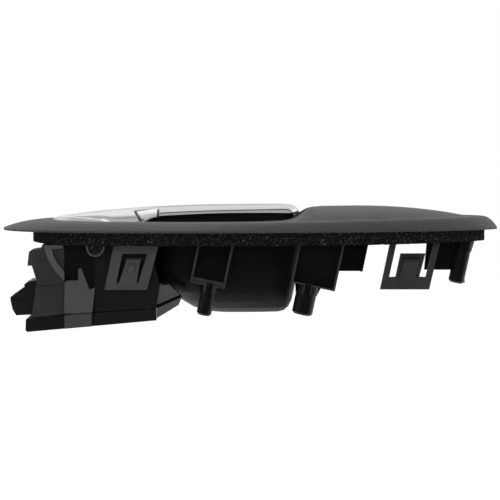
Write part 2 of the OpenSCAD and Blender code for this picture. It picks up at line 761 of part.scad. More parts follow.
module mechanism_housing() color(satin_black) {
    difference() {
        union() {
            difference() {
                intersection() {
                    side_slab(housing_profile, housing_y0 - 1, housing_y1 + 1);
                    across(cross_profile, housing_x0 - 20, housing_x1 + 20);
                }
                // Arched recess on the near side, above the panel's slope
                cylinder_y(pivot_x - 4, housing_y0 - 3, housing_y0 + 1.4, -19.4, 4.2);
                translate([pivot_x - 8.2, housing_y0 - 3, -25.4]) cube([8.4, 4.4, 6]);
            }
            // Neck that reaches up towards the deck
            translate([neck_x0, lever_y - neck_half, roof_z])
                cube([neck_x1 - neck_x0, 2 * neck_half, neck_top - roof_z]);
            gusset();
            // Panel that stands out further towards its foot
            intersection() {
                side_slab(panel_outline, housing_y0 - 3, housing_y0 + 2);
                across(
                    [
                        [housing_y0 + 2, -17], [housing_y0 + 0.2, -17], [housing_y0 - 1, -41], [housing_y0 + 2, -41]
                    ],
                    -far, far
                );
            }
            // Bracket that sweeps down from the left corner, and the foot of the foam's stop
            side_slab(bracket_outline, housing_y0 - 1.4, housing_y0 + 1);
            side_slab(
                from_pivot([[-15.4, housing_top], [-9.4, housing_top], [-9.4, -8.4], [-15.2, -8.8]]),
                housing_y0 - 1.2, housing_y0 + 1
            );
            side_slab(
                from_pivot([[-22, -27.6], [-9, -26.8], [-9, -27.6], [-22, -28.4]]),
                housing_y0 - 0.1, housing_y0 + 2
            );
        }
        intersection() {
            side_slab(hollow_profile, housing_y0 + housing_wall, housing_y1 - housing_wall);
            across(hollow_cross, housing_x0 - 20, housing_x1 + 20);
        }
        // Well under the lever's root, and the tray beside it
        translate([neck_x0 + housing_wall, lever_y - well_half, roof_z - 1])
            cube([web_x - neck_x0 - housing_wall, 2 * well_half, 20]);
        translate([web_x + housing_wall, lever_y - well_half, tray_z])
            cube([neck_x1 - web_x - 2 * housing_wall, 2 * well_half, 20]);
        // Arched recess on the near side
        cylinder_y(-89.4, housing_y0 - 3, housing_y0 + 1.3, -17.6, 3.4);
        translate([-92.8, housing_y0 - 3, -24.5]) cube([6.8, 4.3, 7]);
        // Way in for the cable and for the contact blades
        translate([housing_x0 - 5, lever_y - 2.2, cable_z - 2.2]) cube([12, 4.4, 4.4]);
        translate([housing_x0 - 8, plug_y - 6, plug_z - 2.6]) cube([14, 12, 5.2]);
        for (s = housing_screw_spots)
            cylinder_z(s.x, s.y, roof_z - 1, housing_top + 1, screw_r + gap / 2);
        for (s = cover_screw_spots)
            cylinder_z(s.x, s.y, cover_z(s.x) - 4, cover_z(s.x) + 8, screw_r + gap / 4);
    }
    // Ears that carry the pivot pin
    difference() {
        for (s = [-1, 1])
            translate([0, lever_y + s * (ear_y + ear_t / 2), 0]) {
                cylinder_y(pivot_x, -ear_t / 2, ear_t / 2, pivot_z, pin_r + 2.2);
                side_slab(
                    [
                        [pivot_x - pin_r - 2.2, pivot_z], [pivot_x + pin_r + 2.2, pivot_z],
                        [pivot_x + 6, housing_top - 3], [neck_x0 + 1, housing_top - 3], [neck_x0 + 1, housing_top]
                    ],
                    -ear_t / 2, ear_t / 2
                );
            }
        cylinder_y(pivot_x, lever_y - 30, lever_y + 30, pivot_z, pin_r + pin_gap);
    }
    // Web behind the travel bumper
    translate([web_x, housing_y0 + 1, roof_z - 12]) cube([housing_wall, 2 * housing_half - 2, 13]);
    // Pegs that carry the sensor's board
    for (y = [-1, 1], z = [board_z + 2.4, board_z + board_h - 2.4])
        translate([wall_x(z) + housing_wall / 2, plug_y + y * (board_w / 2 - 2), z]) rotate([0, 90, 0])
            cylinder(h = board_x - wall_x(z) - housing_wall / 2, r = 1.5, $fn = 32);
    for (s = cover_screw_spots)
        cover_boss(s);
}

// Gusset towards the finger cup: a plate set back, with a plainer wedge and a raised facet on it
module gusset() {
    side_slab(
        from_pivot([
            [36.2, -27.4], [43.2, -26.6], [48.6, -31.8], [49.6, -33], [48, -36.8], [37.2, -43.4], [37.2, -38.6],
            [36.2, -37.6]
        ]),
        housing_y0 + 3, housing_y0 + 6.4
    );
    side_slab(
        from_pivot([[36.2, -27.6], [40.2, -27], [43.2, -26.6], [48.6, -31.8], [36.2, -37.2]]),
        housing_y0 + 1.8, housing_y0 + 4
    );
    side_slab(
        from_pivot([[37.2, -38.4], [49.6, -32.8], [48, -36.8], [37.2, -43.4]]),
        housing_y0 + 0.4, housing_y0 + 4
    );
}

cover_grip = 3;
cover_left = pivot_x - 25.6;
cover_screw_spots = [for (x = [-18, 32], s = [-1, 1]) [pivot_x + x, lever_y + s * (housing_half - 4.7)]];
function cover_z(x) =
    housing_low_r + (x - housing_x1) * (housing_low_l - housing_low_r) / (cover_left - housing_x1) - 0.6;

module cover_boss(s)
    difference() {
        cylinder_z(s.x, s.y, cover_z(s.x) + 1.6, cover_z(s.x) + 9, 2.8);
        cylinder_z(s.x, s.y, cover_z(s.x), cover_z(s.x) + 8, screw_r + gap / 4);
    }

// Tray that closes the housing from below

cover_profile = from_pivot([
    [-28.4, -44.2], [-25.8, -43.6], [-9, -41.8], [36.6, -38.8], [36.8, -44.6], [-27.6, -50.4], [-28.6, -49.6]
]);
cover_y0 = housing_y0 + side_draft - 0.2;
cover_y1 = housing_y1 - side_draft + 0.2;

module housing_cover() color(satin_black) {
    difference() {
        union() {
            difference() {
                side_slab(cover_profile, cover_y0, cover_y1);
                side_slab(
                    from_pivot([[-22, -30], [34.6, -30], [34.6, -42.8], [-22, -47.8]]),
                    cover_y0 + 2.2, cover_y1 - 2.2
                );
            }
            // Foot of the near side's panel
            intersection() {
                side_slab(cover_profile, cover_y0 - 2, cover_y0 + 1);
                side_slab(from_pivot([[-9, -30], [4.8, -30], [4.4, -60], [-9, -60]]), cover_y0 - 1, cover_y0 + 1);
            }
            intersection() {
                side_slab(cover_profile, cover_y0, cover_y1);
                for (s = cover_screw_spots)
                    cylinder_z(s.x, s.y, -60, -30, screw_r + 3);
            }
        }
        for (s = cover_screw_spots) {
            cylinder_z(s.x, s.y, -70, -30, screw_r + gap / 2);
            cylinder_z(s.x, s.y, -70, cover_z(s.x) - cover_grip, screw_r + 1.9);
        }
    }
}

// Pan-head screw, head down, with its seat at z
module screw(x, y, z, l, r = screw_r) {
    cylinder_z(x, y, z, z + l, r);
    cylinder_z(x, y, z - 1.4, z, r + 1.1);
}

module cover_screws() color(steel)
    for (s = cover_screw_spots)
        screw(s.x, s.y, cover_z(s.x) - cover_grip, 10);

module housing_screws() color(steel)
    for (s = housing_screw_spots)
        screw(s.x, s.y, roof_z, housing_top - roof_z + housing_screw_grip - 0.6);

module bezel_screws() color(steel)
    for (s = bezel_screw_spots)
        screw(s.x, s.y, 0, deck_t + bezel_screw_l - 1);

// Rubber stops

bumper_r = 2;
module rest_bumpers() color(rubber)
    for (s = [-1, 1])
        cylinder_z(web_x + 4.4, lever_y + s * 4.4, tray_z, core_low_z - gap, bumper_r);

module travel_bumper() color(rubber)
    translate([web_x - 4, lever_y - 4, roof_z - 9]) cube([4, 8, 6.5]);

// Retainer for the cable's conduit, at the upper left

cable_z = pivot_z - crank_l + 1;

module cable_retainer() color(satin_black) {
    retainer_half = 7;
    difference() {
        side_slab(
            [
                [pivot_x - 28.4, -17.6], [pivot_x - 27.6, -10.9], [pivot_x - 26.6, -10.2],
                [wall_x(-9.2) - gap, -9.2], [wall_x(-24.8) - gap, -24.8], [pivot_x - 24.1, -24.8],
                [pivot_x - 26.2, -18], [pivot_x - 28.2, -18]
            ],
            lever_y - retainer_half, lever_y + retainer_half
        );
        translate([pivot_x - 36, lever_y, cable_z]) rotate([0, 90, 0]) cylinder(h = 30, r = 2.1, $fn = 32);
        translate([pivot_x - 36, lever_y - 1.2, cable_z]) cube([30, 2.4, 20]);
    }
}

// Sensor of the lever's travel, with its plug socket at the lower left

plug_y = lever_y;
plug_z = -34.5;
blade_pitch = 3;
magnet_r = 1.5;

module sensor_magnet() color(steel)
    cylinder_y(pivot_x + 2.6, lever_y + crank_half - 1.2, lever_y + crank_half + 0.4, pivot_z - crank_l + 6, magnet_r);

module sensor_board() color("darkgreen") {
    translate([board_x, plug_y - board_w / 2, board_z]) cube([1.6, board_w, board_h]);
    translate([board_x + 1.6, plug_y - 3, board_z + 9]) cube([1.4, 6, 4.5]);
}

blade_x0 = pivot_x - 33.8;

module connector_pins() color(steel)
    for (k = [-1.5:1:1.5])
        translate([blade_x0, plug_y + k * blade_pitch - 0.4, plug_z - 0.4])
            cube([board_x - blade_x0, 0.8, 0.8]);

module connector_shell() color(satin_black) {
    shell_half = 8.8;
    step_z = plug_z - 1;
    foot = [[pivot_x - 36.8, step_z], [pivot_x - 35.8, -39.8], [pivot_x - 34, -42.8], [wall_x(-42.4) - 0.1, -42.4]];
    upper = concat(
        [[pivot_x - 27.4, -26.2], [pivot_x - 29.4, -28.2], [pivot_x - 36.9, -33.6]], foot,
        [[wall_x(-25.8) - 0.1, -25.8]]
    );
    lower = concat(foot, [[wall_x(step_z) - 0.1, step_z]]);
    difference() {
        union() {
            side_slab(upper, plug_y - shell_half, plug_y + shell_half);
            side_slab(lower, plug_y - shell_half - 0.5, plug_y + shell_half + 0.5);
            // Lip over the socket
            side_slab(
                [
                    [pivot_x - 29.9, -27.2], [pivot_x - 27.4, -25.6], [wall_x(-25) - 0.1, -25],
                    [wall_x(-26.4) - 0.1, -26.4], [pivot_x - 27.2, -26.8], [pivot_x - 29.6, -28.4]
                ],
                plug_y - shell_half - 0.9, plug_y + shell_half + 0.9
            );
        }
        translate([pivot_x - 46, plug_y - 7.4, plug_z - 5.4]) cube([18.5, 14.8, 8]);
        translate([pivot_x - 36, plug_y - 6, plug_z - 1]) cube([20, 12, 2]);
    }
}

bezel();
carrier();
trim_fixings();
foam_gasket();
chrome_surround();
lever_shell();
lever_core();
pivot_pin();
pin_clip();
return_spring();
rest_bumpers();
travel_bumper();
mechanism_housing();
housing_cover();
cover_screws();
housing_screws();
bezel_screws();
cable_retainer();
sensor_magnet();
sensor_board();
connector_shell();
connector_pins();
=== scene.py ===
import json
import math

import bmesh
import bpy
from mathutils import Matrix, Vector, noise


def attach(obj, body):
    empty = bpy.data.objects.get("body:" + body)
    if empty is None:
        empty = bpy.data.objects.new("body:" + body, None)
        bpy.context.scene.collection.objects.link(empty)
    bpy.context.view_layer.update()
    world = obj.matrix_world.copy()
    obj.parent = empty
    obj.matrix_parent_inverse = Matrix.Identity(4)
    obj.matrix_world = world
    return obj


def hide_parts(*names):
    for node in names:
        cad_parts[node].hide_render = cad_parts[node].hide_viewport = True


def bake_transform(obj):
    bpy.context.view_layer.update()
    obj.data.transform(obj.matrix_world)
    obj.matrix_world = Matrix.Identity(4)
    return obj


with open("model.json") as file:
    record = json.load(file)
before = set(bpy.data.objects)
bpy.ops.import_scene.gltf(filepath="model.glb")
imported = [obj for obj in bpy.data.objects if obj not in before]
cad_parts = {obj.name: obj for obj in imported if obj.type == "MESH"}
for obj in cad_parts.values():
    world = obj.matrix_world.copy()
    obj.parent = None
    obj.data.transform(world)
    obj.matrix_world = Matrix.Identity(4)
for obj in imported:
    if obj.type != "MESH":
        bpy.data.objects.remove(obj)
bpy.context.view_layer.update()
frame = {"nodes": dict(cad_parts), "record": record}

bl_info = {
    "name": "Interior Door Handle",
    "version": (1, 0, 0),
    "blender": (4, 5, 0),
    "location": "View3D > Sidebar > Door Handle",
    "description": "Finishes a car's interior door handle: bezel, lever, black mouldings and foam gasket",
    "category": "Object",
}

MM = 0.001
FLAT = math.radians(0.5)
MOULDED_SHARP = math.radians(32)
SURROUND_SHARP = math.radians(35)
BEZEL_SHARP = math.radians(38)
SOFT_SHARP = math.radians(70)


# Sizes and colours that a user would change

class BezelSettings(bpy.types.PropertyGroup):
    colour: bpy.props.FloatVectorProperty(
        name="Colour", description="Colour of the grained bezel", subtype="COLOR", size=3,
        min=0, max=1, default=(0.045, 0.045, 0.0465),
    )
    roughness: bpy.props.FloatProperty(
        name="Roughness", description="Roughness of the moulded grain", min=0, max=1, default=0.52,
    )
    grain: bpy.props.FloatProperty(
        name="Grain", description="Distance between the grain's pits", unit="LENGTH",
        min=0.0001, default=0.42 * MM,
    )


class MouldingSettings(bpy.types.PropertyGroup):
    colour: bpy.props.FloatVectorProperty(
        name="Colour", description="Colour of the black mouldings", subtype="COLOR", size=3,
        min=0, max=1, default=(0.0046, 0.0046, 0.0049),
    )
    # Painted light: the colour of the mouldings' faces that are painted paler where light falls on them.
    painted_light: bpy.props.FloatVectorProperty(
        name="Pale Colour", description="Colour of the mouldings' textured faces", subtype="COLOR", size=3,
        min=0, max=1, default=(0.085, 0.085, 0.087),
    )
    roughness: bpy.props.FloatProperty(
        name="Roughness", description="Roughness of the black mouldings", min=0, max=1, default=0.36,
    )
    edge: bpy.props.FloatProperty(
        name="Edge Radius", description="Rounding of the mouldings' edges", unit="LENGTH",
        min=0, default=0.22 * MM,
    )


class ChromeSettings(bpy.types.PropertyGroup):
    colour: bpy.props.FloatVectorProperty(
        name="Colour", description="Colour of the bright plating", subtype="COLOR", size=3,
        min=0, max=1, default=(0.86, 0.87, 0.89),
    )
    satin: bpy.props.FloatVectorProperty(
        name="Satin Colour", description="Colour of the satin plating at the lever's root",
        subtype="COLOR", size=3, min=0, max=1, default=(0.88, 0.885, 0.90),
    )
    roughness: bpy.props.FloatProperty(
        name="Roughness", description="Roughness of the bright plating", min=0, max=1, default=0.05,
    )


class FoamSettings(bpy.types.PropertyGroup):
    colour: bpy.props.FloatVectorProperty(
        name="Colour", description="Colour of the foam", subtype="COLOR", size=3,
        min=0, max=1, default=(0.011, 0.011, 0.011),
    )
    cell: bpy.props.FloatProperty(
        name="Cell Size", description="Size of the foam's open cells", unit="LENGTH",
        min=0.0002, default=0.7 * MM,
    )
    raggedness: bpy.props.FloatProperty(
        name="Raggedness", description="How far the cut foam stands in and out", unit="LENGTH", min=0,
        default=0.22 * MM,
    )


class StageSettings(bpy.types.PropertyGroup):
    elevation: bpy.props.FloatProperty(
        name="Elevation", description="Height of the camera above the handle", subtype="ANGLE",
        default=math.radians(4),
    )
    distance: bpy.props.FloatProperty(
        name="Distance", description="Distance of the camera from the handle", unit="LENGTH",
        min=0.3, default=1.1,
    )
    picture_width: bpy.props.FloatProperty(
        name="Picture Width", description="Width that the picture shows at the handle", unit="LENGTH",
        min=0.05, default=0.254,
    )
    aim_x: bpy.props.FloatProperty(
        name="Aim Along", description="Where the camera aims along the bezel", unit="LENGTH",
        default=-0.4 * MM,
    )
    aim_z: bpy.props.FloatProperty(
        name="Aim Height", description="Height that the camera aims at", unit="LENGTH", default=-10.8 * MM,
    )
    fill: bpy.props.FloatProperty(
        name="Fill", description="Strength of the even light from all round", min=0, default=0.42,
    )
    floor_drop: bpy.props.FloatProperty(
        name="Floor Drop", description="Height of the bezel's seat above the floor", unit="LENGTH",
        min=0.06, default=0.17,
    )


# Shader maths

class Socket:
    """A shader value that ordinary arithmetic works on."""

    def __init__(self, shader, link):
        self.shader = shader
        self.link = link

    def _with(self, operation, first, second):
        return self.shader.node("ShaderNodeMath", {"operation": operation}, {0: first, 1: second})

    def __add__(self, other):
        return self._with("ADD", self, other)

    def __radd__(self, other):
        return self._with("ADD", other, self)

    def __sub__(self, other):
        return self._with("SUBTRACT", self, other)

    def __rsub__(self, other):
        return self._with("SUBTRACT", other, self)

    def __mul__(self, other):
        return self._with("MULTIPLY", self, other)

    def __rmul__(self, other):
        return self._with("MULTIPLY", other, self)


class Nodes:
    """A node tree whose nodes are all made by one method."""

    def __init__(self, tree):
        self.tree = tree

    def feed(self, socket, value):
        if isinstance(value, Socket):
            self.tree.links.new(value.link, socket)
        elif isinstance(value, (tuple, list)) and len(value) == 3 and socket.type == "RGBA":
            socket.default_value = (*value, 1)
        else:
            socket.default_value = value

    def node(self, kind, settings=None, inputs=None, output=0):
        made = self.tree.nodes.new(kind)
        for key, value in (settings or {}).items():
            setattr(made, key, value)
        for key, value in (inputs or {}).items():
            self.feed(made.inputs[key], value)
        return Socket(self, made.outputs[output])

    def mix(self, share, first, second):
        """Colour from first to second by share."""
        return self.node("ShaderNodeMix", {"data_type": "RGBA"}, {"Factor": share, 6: first, 7: second}, 2)

    def limits(self, value, low, high, to_low=0.0, to_high=1.0):
        """Value stretched from low..high to to_low..to_high and held there."""
        return self.node(
            "ShaderNodeMapRange", None,
            {"Value": value, "From Min": low, "From Max": high, "To Min": to_low, "To Max": to_high},
        )

    def finish(self, surface, output):
        """Feeds a surface or background to the tree's output."""
        self.feed(self.tree.nodes[output].inputs["Surface"], surface)


class Finish(Nodes):
    """A material with one physical surface."""

    def __init__(self, name, metallic=0.0):
        self.material = bpy.data.materials.new(name)
        self.material.use_nodes = True
        super().__init__(self.material.node_tree)
        self.surface = self.tree.nodes["Principled BSDF"]
        self.surface.inputs["Metallic"].default_value = metallic
        self.place = self.node("ShaderNodeTexCoord", output="Object")

    def noise(self, size, detail=2.0, rough=0.5):
        """Noise from 0 to 1 whose lumps are size metres apart."""
        return self.node(
            "ShaderNodeTexNoise", None,
            {"Vector": self.place, "Scale": 1 / size, "Detail": detail, "Roughness": rough},
        )

    def cells(self, size):
        """Distance from the middle of the nearest cell of a pattern of cells."""
        return self.node("ShaderNodeTexVoronoi", None, {"Vector": self.place, "Scale": 1 / size})

    def mark(self, name):
        """A mark that the piece's own vertices carry, from 0 to 1."""
        return self.node("ShaderNodeAttribute", {"attribute_name": name}, None, "Fac")

    def bump(self, height, distance, strength=1.0):
        raised = self.node(
            "ShaderNodeBump", None, {"Height": height, "Distance": distance, "Strength": strength},
        )
        self.feed(self.surface.inputs["Normal"], raised)

    def set(self, **values):
        for name, value in values.items():
            self.feed(self.surface.inputs[name.replace("_", " ")], value)


def scaled(colour, share):
    return tuple(min(1, c * share) for c in colour)


# Materials

# Near-black for the painted shade at the bezel's crease and for the lever's dark lines, which are partly real
# seams and partly painted shade and reflection.
SEAM_AND_PAINTED_SHADE_BLACK = (0.004, 0.004, 0.004)


def bezel_grain(settings):
    """Satin dark-grey moulding with a fine pitted grain."""
    shader = Finish("bezel_grain")
    pits = shader.cells(settings.grain)
    cloud = shader.noise(9 * settings.grain, 3)
    speckle = shader.limits(shader.noise(3.2 * settings.grain, 2, 0.6), 0.3, 0.7)
    grain = shader.mix(
        0.45 * pits + 0.25 * cloud + 0.45 * speckle,
        scaled(settings.colour, 0.6), scaled(settings.colour, 1.45),
    )
    # Painted shade: the grain is darkened towards near-black along the dome's crease.
    shader.set(
        Base_Color=shader.mix(0.75 * shader.mark("painted_crease_shade"), grain, SEAM_AND_PAINTED_SHADE_BLACK),
        Roughness=settings.roughness - 0.12 + 0.16 * cloud + 0.1 * pits,
        Specular_IOR_Level=0.65,
    )
    shader.bump(pits + 0.35 * shader.noise(settings.grain / 2), 0.05 * MM, 0.6)
    return shader.material


def black_moulding(settings):
    """Black moulding with flow marks, and painted light where its faces are marked: a paler, rougher spark
    texture.
    """
    shader = Finish("black_moulding")
    fine = shader.noise(0.35 * MM, 3)
    flow = shader.noise(14 * MM, 2, 0.6)
    painted_light = shader.mark("painted_light")
    gloss = shader.mix(flow, scaled(settings.colour, 0.75), scaled(settings.colour, 1.3))
    textured_and_lit = shader.mix(0.6 * flow + 0.4 * fine, scaled(settings.painted_light, 0.86), scaled(settings.painted_light, 1.14))
    shader.set(
        Base_Color=shader.mix(painted_light, gloss, textured_and_lit),
        Roughness=settings.roughness - 0.1 + 0.12 * flow + 0.08 * fine + 0.2 * painted_light,
        Specular_IOR_Level=0.25,
    )
    shader.bump(fine, 0.03 * MM, 0.35)
    return shader.material


def satin_chrome(settings):
    """Satin plating with the faint waviness of plated plastic."""
    shader = Finish("satin_chrome", metallic=0.3)
    haze = shader.noise(6 * MM, 4, 0.65)
    shader.set(
        Base_Color=shader.mix(haze, scaled(settings.satin, 0.97), scaled(settings.satin, 1.05)),
        Roughness=settings.roughness + 0.13 + 0.04 * haze,
    )
    shader.bump(shader.noise(16 * MM, 1), 0.02 * MM, 0.2)
    return shader.material


def lever_chrome(settings):
    """The lever's plating: satin silver at the root, bright on the bar, black in the dark lines, which are
    partly real seams and partly painted shade and reflection; the fully satin patch between them is a painted
    highlight.
    """
    shader = Finish("lever_chrome")
    haze = shader.noise(6 * MM, 4, 0.65)
    root, seam_and_painted_shade = shader.mark("root"), shader.mark("seam_and_painted_shade")
    bar = shader.mix(haze, scaled(settings.colour, 0.96), scaled(settings.colour, 1.02))
    satin = shader.mix(haze, scaled(settings.satin, 0.97), scaled(settings.satin, 1.03))
    # Painted shade and reflection: the dark lines are painted near-black and lose their metal.
    shader.set(
        Base_Color=shader.mix(seam_and_painted_shade, shader.mix(root, bar, satin), SEAM_AND_PAINTED_SHADE_BLACK),
        Roughness=settings.roughness - 0.02 + 0.04 * haze + 0.3 * root + 0.3 * seam_and_painted_shade,
        Metallic=(1 - 0.65 * root) * (1 - seam_and_painted_shade),
    )
    shader.bump(shader.noise(16 * MM, 1), 0.02 * MM, 0.2)
    return shader.material


def open_foam(settings):
    """Near-black open-cell foam, its cut cells catching the light."""
    shader = Finish("open_foam")
    walls = shader.cells(settings.cell)
    fine = shader.noise(settings.cell / 3, 3, 0.7)
    lit = shader.limits(walls * fine, 0.26, 0.5)
    shader.set(
        Base_Color=shader.mix(lit * lit, scaled(settings.colour, 0.6), scaled(settings.colour, 9.0)),
        Roughness=0.85 + 0.1 * fine, Specular_IOR_Level=0.1,
    )
    shader.bump(walls + 0.6 * fine, 0.5 * MM, 1.0)
    return shader.material


def zinc_steel():
    """Zinc-plated steel of the pins, clip and screws."""
    shader = Finish("zinc_steel", metallic=1.0)
    haze = shader.noise(1.2 * MM, 4, 0.7)
    shader.set(
        Base_Color=shader.mix(haze, (0.42, 0.43, 0.45), (0.62, 0.63, 0.64)),
        Roughness=0.24 + 0.2 * haze,
    )
    shader.bump(shader.noise(0.25 * MM, 2), 0.01 * MM, 0.4)
    return shader.material


def soft_rubber():
    """Matt black rubber of the bumpers."""
    shader = Finish("soft_rubber")
    bloom = shader.noise(2.5 * MM, 4, 0.7)
    shader.set(
        Base_Color=shader.mix(bloom, (0.010, 0.010, 0.010), (0.026, 0.026, 0.025)),
        Roughness=0.7 + 0.2 * bloom,
    )
    shader.bump(shader.noise(0.3 * MM, 3), 0.03 * MM, 0.5)
    return shader.material


def coated_board():
    """Green lacquered board with paler tracks under the lacquer."""
    shader = Finish("coated_board")
    tracks = shader.node(
        "ShaderNodeTexWave", {"bands_direction": "Z"},
        {"Vector": shader.place, "Scale": 130, "Distortion": 5, "Detail": 2, "Detail Scale": 60},
    )
    shader.set(
        Base_Color=shader.mix(tracks, (0.006, 0.05, 0.018), (0.014, 0.11, 0.04)),
        Roughness=0.25 + 0.15 * tracks,
    )
    shader.bump(tracks, 0.03 * MM, 0.4)
    return shader.material


def tinned_contact():
    """Tinned brass of the contact blades."""
    shader = Finish("tinned_contact", metallic=1.0)
    haze = shader.noise(0.8 * MM, 3, 0.7)
    shader.set(
        Base_Color=shader.mix(haze, (0.60, 0.52, 0.34), (0.75, 0.70, 0.58)),
        Roughness=0.22 + 0.16 * haze,
    )
    shader.bump(haze, 0.01 * MM, 0.3)
    return shader.material


def nickel_magnet():
    """Nickel-plated magnet."""
    shader = Finish("nickel_magnet", metallic=1.0)
    haze = shader.noise(0.7 * MM, 3, 0.6)
    shader.set(
        Base_Color=shader.mix(haze, (0.40, 0.40, 0.40), (0.52, 0.52, 0.51)),
        Roughness=0.2 + 0.14 * haze,
    )
    shader.bump(haze, 0.01 * MM, 0.3)
    return shader.material


def material(name):
    """The named finish, made once."""
    found = bpy.data.materials.get(name)
    if found:
        return found
    scene = bpy.context.scene
    makers = {
        "bezel_grain": lambda: bezel_grain(scene.handle_bezel),
        "black_moulding": lambda: black_moulding(scene.handle_moulding),
        "satin_chrome": lambda: satin_chrome(scene.handle_chrome),
        "lever_chrome": lambda: lever_chrome(scene.handle_chrome),
        "open_foam": lambda: open_foam(scene.handle_foam),
        "zinc_steel": zinc_steel,
        "soft_rubber": soft_rubber,
        "coated_board": coated_board,
        "tinned_contact": tinned_contact,
        "nickel_magnet": nickel_magnet,
    }
    return makers[name]()


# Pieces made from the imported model's solids

def smooth(t):
    """0 to 1 as t goes from 0 to 1, level at both ends."""
    t = min(1, max(0, t))
    return t * t * (3 - 2 * t)


def body_of(node):
    for body, members in frame["record"]["behaviour"]["bodies"].items():
        if node in members:
            return body
    raise ValueError(f"no body holds {node}")


def merged(node):
    """A bmesh of a node's solid with its loose triangles joined up."""
    bm = bmesh.new()
    bm.from_mesh(frame["nodes"][node].data)
    bmesh.ops.remove_doubles(bm, verts=bm.verts, dist=0.002 * MM)
    bmesh.ops.dissolve_degenerate(bm, edges=bm.edges, dist=0.001 * MM)
    return bm


def join_flat(bm):
    """Joins the triangles of each flat face."""
    bmesh.ops.dissolve_limit(
        bm, angle_limit=FLAT, use_dissolve_boundaries=False, verts=bm.verts, edges=bm.edges, delimit=set(),
    )


def mark_sharp(bm, angle):
    """Smooth faces everywhere, parted along the edges that turn by more than angle."""
    for face in bm.faces:
        face.smooth = True
    for edge in bm.edges:
        edge.smooth = len(edge.link_faces) == 2 and edge.calc_face_angle(0) < angle


def object_of(name, bm):
    """An object of the scene made from a bmesh, which is used up."""
    mesh = bpy.data.meshes.new(name)
    bm.to_mesh(mesh)
    bm.free()
    made = bpy.data.objects.new(name, mesh)
    bpy.context.scene.collection.objects.link(made)
    return made


def piece(name, bm, finish, node, rides=True):
    """A finished piece that stands for the node, hides the node and, when rides is set, rides where the node
    rides.
    """
    made = object_of(name, bm)
    made.data.materials.append(material(finish))
    if rides:
        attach(made, body_of(node))
    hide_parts(node)
    return made


def rounded(made, radius, sharp):
    """Rounds the edges that turn by more than the angle sharp."""
    bevel = made.modifiers.new("edges", "BEVEL")
    bevel.width = radius
    bevel.segments = 2
    bevel.limit_method = "ANGLE"
    bevel.angle_limit = sharp
    bevel.harden_normals = True


# Where the mouldings are painted paler as painted light, and where they differ from their solids, in
# millimetres

# Front faces painted paler as painted light, with the mould's texture: the ranges in x, y and z of a face's
# middle, and how much painted light it gets
PAINTED_LIGHT_FACES = (
    ((-73, -43), (-27, -23.7), (-30, -3), 0.78),
    ((-84, -73), (-28.4, -28), (-13, -5), 0.85),
    ((-93.1, -77.5), (-23.1, -21.8), (-41.1, -18.3), 0.92),
    ((-93.1, -79), (-22.1, -21.9), (-49, -40.8), 0.72),
    ((-103, -92.7), (-23.5, -23.1), (-24.5, -6), 1.0),
    ((-48, -34), (-21.7, -20.1), (-44, -26), 1.0),
    ((-113, -104), (-11.1, -10.9), (-25, -9), 0.6),
    ((-110, -93), (-22.2, -20.8), (-44, -6), 0.36),
    ((-77.7, -45), (-21.9, -20.8), (-44, -6), 0.08),
    ((-113, -47), (-21.1, -20.9), (-51, -38), 0.05),
    ((-122, -106), (-14, -12), (-43, -24), 0.12),
    ((-31, -6), (-26, -25), (-30, 0), 0.4),
    ((19, 48), (-20.9, -20.7), (-31, 0), 0.4),
    ((65, 98), (-10.5, -7.3), (-31, 0), 0.44),
)
FRONT_NORMAL_Y = -0.75
# Painted reflection: the cup's underside inside this box is painted paler, standing in for the floor's
# reflection.
CUP_UNDERSIDE = ((-46, 16), (-21, 21), (-60, -31))
CUP_PAINTED_REFLECTION = 0.85
# Cuts across the housing's face where its painted light changes from lighter to darker.
PAINTED_LIGHT_EDGES_X = (-93, -77.6)

# The foam's lower edge, its tab and the rim round the tab
FOAM_SAG = 0.9
TAB_X, TAB_SHIFT = -78.8, 1.8
TAB_RIM = ((-84, -73.5), (-40, -24.7), (-12.6, -5.7))
# The plate that widens the left tower's tongue: x, x and z of its foot and head, and its y
TONGUE_FOOT, TONGUE_HEAD, TONGUE_Y = (-66.2, -57.0, -27.2), (-61.5, -54.9, -13.9), (-25.4, -23.9)
# How far the cup's flank stands out and between which x, and the levels at which it is cut to bend
FLANK_BULGE = 4
FLANK_X = (-52, -26)
FLANK_LEVELS = (-15, -19, -23, -27, -31, -35)
# The plate that closes the tower behind the right one, the right one's lower bar and the tower's lean
SHUTTER_FOOT, SHUTTER_HEAD, SHUTTER_Y = (87, 100, -20), (91, 104, -2), (2.5, 3.5)
LOWER_BAR, BAR_RISE = ((65, 130), (-40, -6), (-27.3, -26)), (0.6, 0, 2.8)
SECOND_TOWER, TOWER_LEAN = ((84, 106), (1, 7), (-60, 20)), 2.5 / 21


def within(point, box):
    """Whether each coordinate lies inside the box's range for it."""
    return all(low < c < high for c, (low, high) in zip(point, box))


def painted_light_level(face):
    """How much painted light a face gets, painted paler with a rougher texture: on the cup's underside as a
    painted reflection of the floor, and on the front in its ranges where light falls on it.
    """
    centre = face.calc_center_median() / MM
    if within(centre, CUP_UNDERSIDE):
        return CUP_PAINTED_REFLECTION * smooth((-face.normal.z - 0.4) / 0.5)
    if face.normal.y > FRONT_NORMAL_Y:
        return 0.0
    return max((level for *box, level in PAINTED_LIGHT_FACES if within(centre, box)), default=0.0)


def cut(bm, places, along):
    """Cuts the faces at each place, in millimetres, along an axis."""
    for place in places:
        bmesh.ops.bisect_plane(
            bm, geom=[*bm.verts, *bm.edges, *bm.faces], dist=0.0005 * MM,
            plane_co=Vector(along) * place * MM, plane_no=along,
        )


def plate(bm, foot, head, near, far):
    """A leaning plate from y near to y far, whose foot and head are each given as x, x and z."""
    corners = bmesh.ops.create_cube(bm, size=2)["verts"]
    for vert in corners:
        left, right, z = head if vert.co.z > 0 else foot
        vert.co = Vector((right if vert.co.x > 0 else left, far if vert.co.y > 0 else near, z)) * MM


